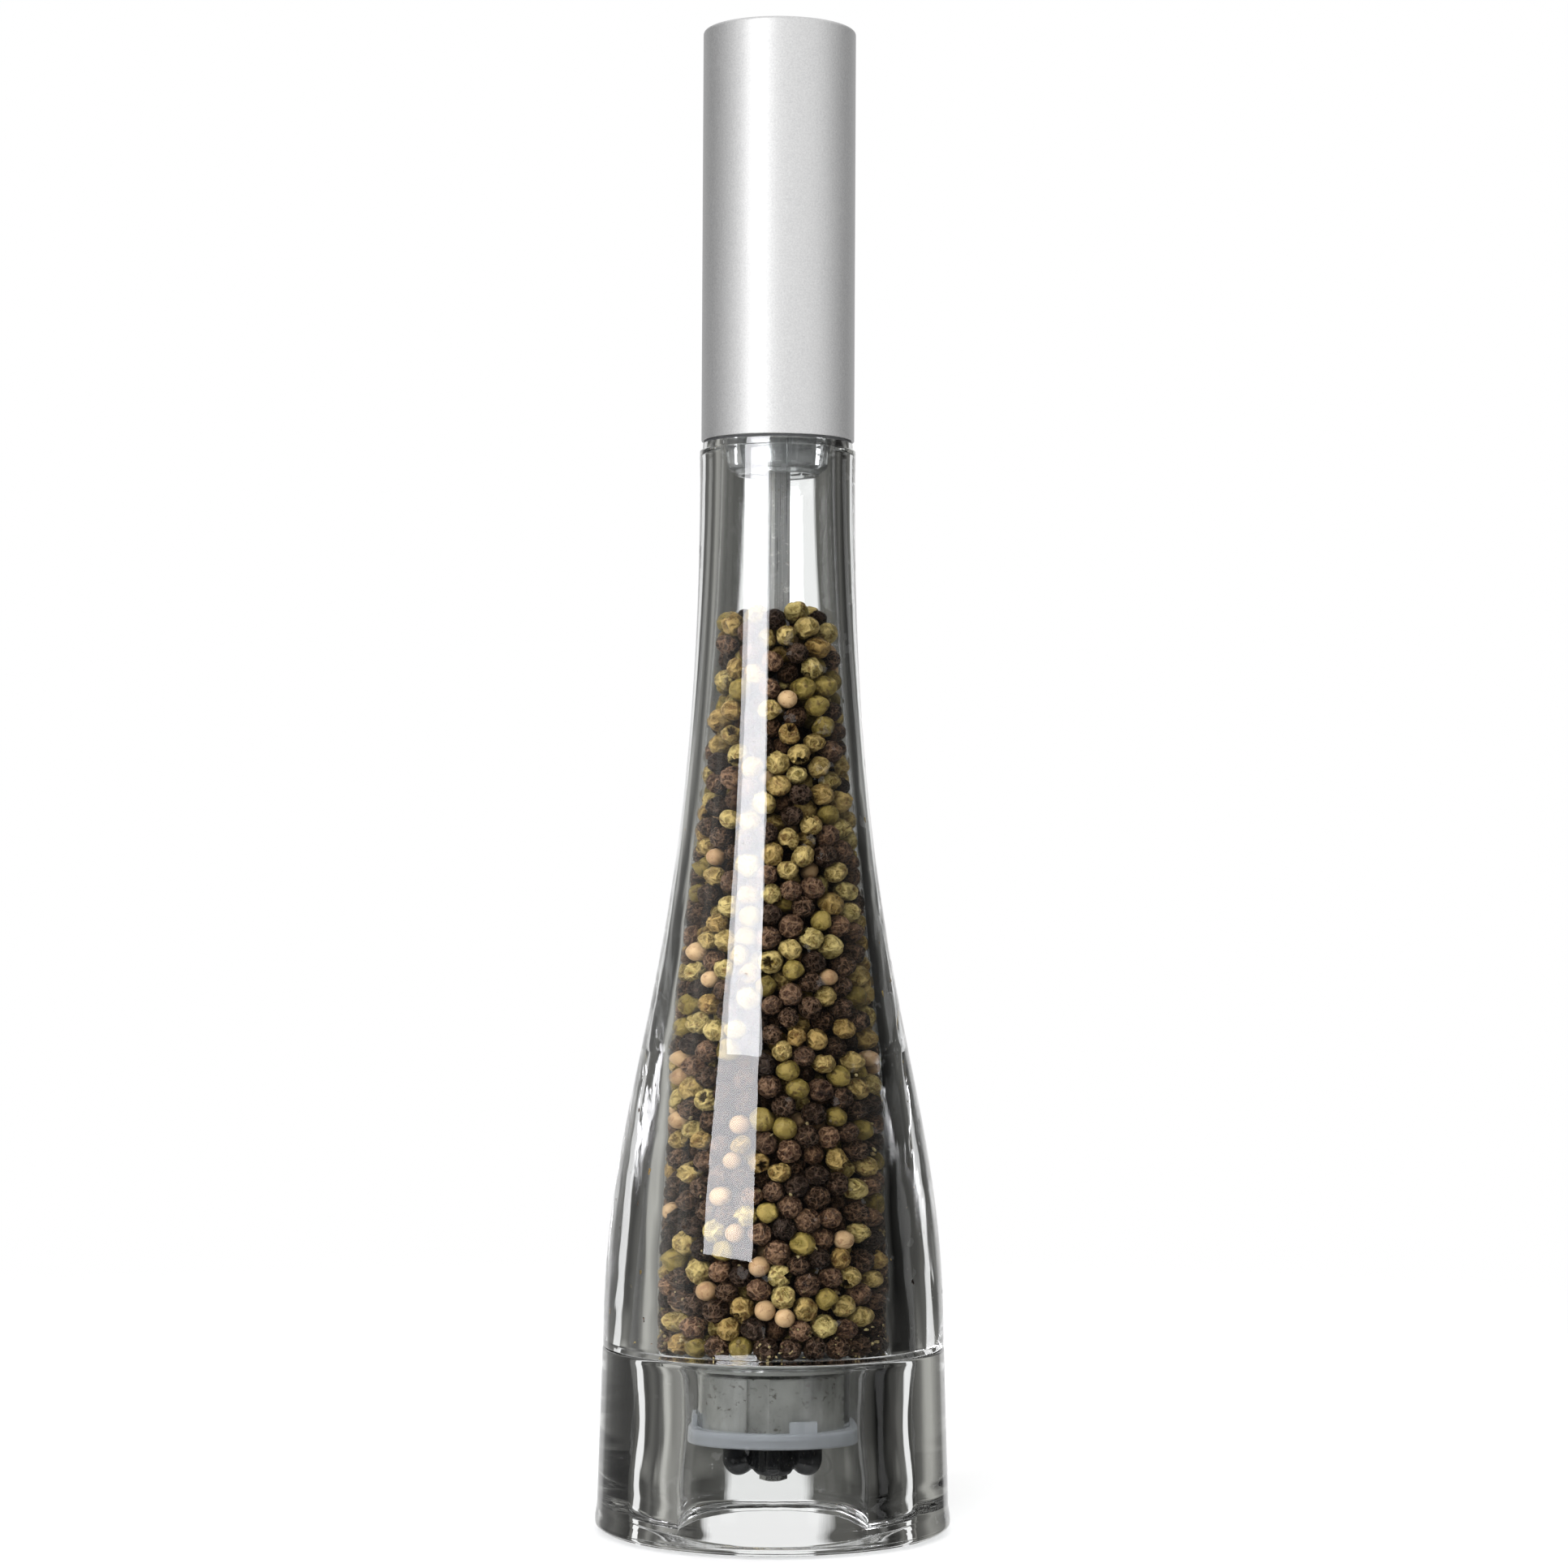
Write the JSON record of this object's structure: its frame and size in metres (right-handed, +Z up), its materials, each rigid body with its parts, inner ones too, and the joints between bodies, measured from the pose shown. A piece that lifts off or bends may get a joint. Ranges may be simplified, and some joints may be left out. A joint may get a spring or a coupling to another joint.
{
  "type": "pepper mill",
  "caption": "Tall bottle-shaped clear pepper mill with a twisting satin aluminium head, a square drive shaft through mixed peppercorns and a grinder in a thick clear base.",
  "frame": {"origin": "centre of the resting face, on the mill's axis", "axes": "+Z up along the mill's axis; -Y is the side seen in front"},
  "size_m": [0.078, 0.078, 0.33],
  "materials": {
    "clear_acrylic": "clear, thick, polished acrylic",
    "clear_plastic": "clear moulded plastic",
    "milky_plastic": "translucent milky moulded plastic",
    "satin_aluminium": "bead-blasted and anodised, fine grain",
    "bright_aluminium": "drawn bar, scratched, with pepper dust",
    "sintered_steel": "sintered, matt grey",
    "spring_steel": "bright stamped or wound steel",
    "brass": "turned",
    "black_plastic": "glossy black moulding",
    "grey_plastic": "matt grey moulding",
    "dark_nylon": "dark matt washer",
    "white_nylon": "natural nylon",
    "peppercorn": "mixed dried berries: black, green and white, wrinkled and smooth"
  },
  "bodies": {
    "mill_body": {"bottle": "clear_acrylic", "base_ring": "clear_acrylic", "grinder_housing": "clear_plastic", "housing_ring": "milky_plastic", "outer_burr": "sintered_steel", "shaft_guide": "white_nylon", "peppercorns": "peppercorn", "slip_ring": "dark_nylon"},
    "drive": {"drive_shaft": "bright_aluminium", "guide_bush": "white_nylon", "shaft_clips": "spring_steel", "burr_spring": "spring_steel", "lock_nut": "spring_steel"},
    "head": {"head_sleeve": "satin_aluminium", "head_core": "grey_plastic", "drive_plug": "clear_plastic", "plug_screws": "spring_steel", "shaft_socket": "white_nylon", "socket_clip": "spring_steel"},
    "burr": {"inner_burr": "sintered_steel", "thrust_washer": "spring_steel"},
    "knob": {"adjusting_knob": "black_plastic", "knob_insert": "brass"}
  },
  "joints": [
    {"name": "grind_turn", "type": "hinge", "parent": "mill_body", "child": "drive", "pos_m": [0, 0, 0.037], "axis": [0, 0, 1], "continuous": true},
    {"name": "head_lift", "type": "slide", "parent": "drive", "child": "head", "axis": [0, 0, 1], "range_m": [0, 0.048]},
    {"name": "burr_feed", "type": "slide", "parent": "drive", "child": "burr", "axis": [0, 0, 1], "range_m": [-0.00058, 0], "deforming": ["burr_spring"]},
    {"name": "adjust_turn", "type": "hinge", "parent": "burr", "child": "knob", "pos_m": [0, 0, 0.0168], "axis": [0, 0, 1], "range_deg": [-300, 0]}
  ],
  "couplings": [
    {"joint": "adjust_turn", "follows": "burr_feed", "rad_per_m": 8976}
  ]
}
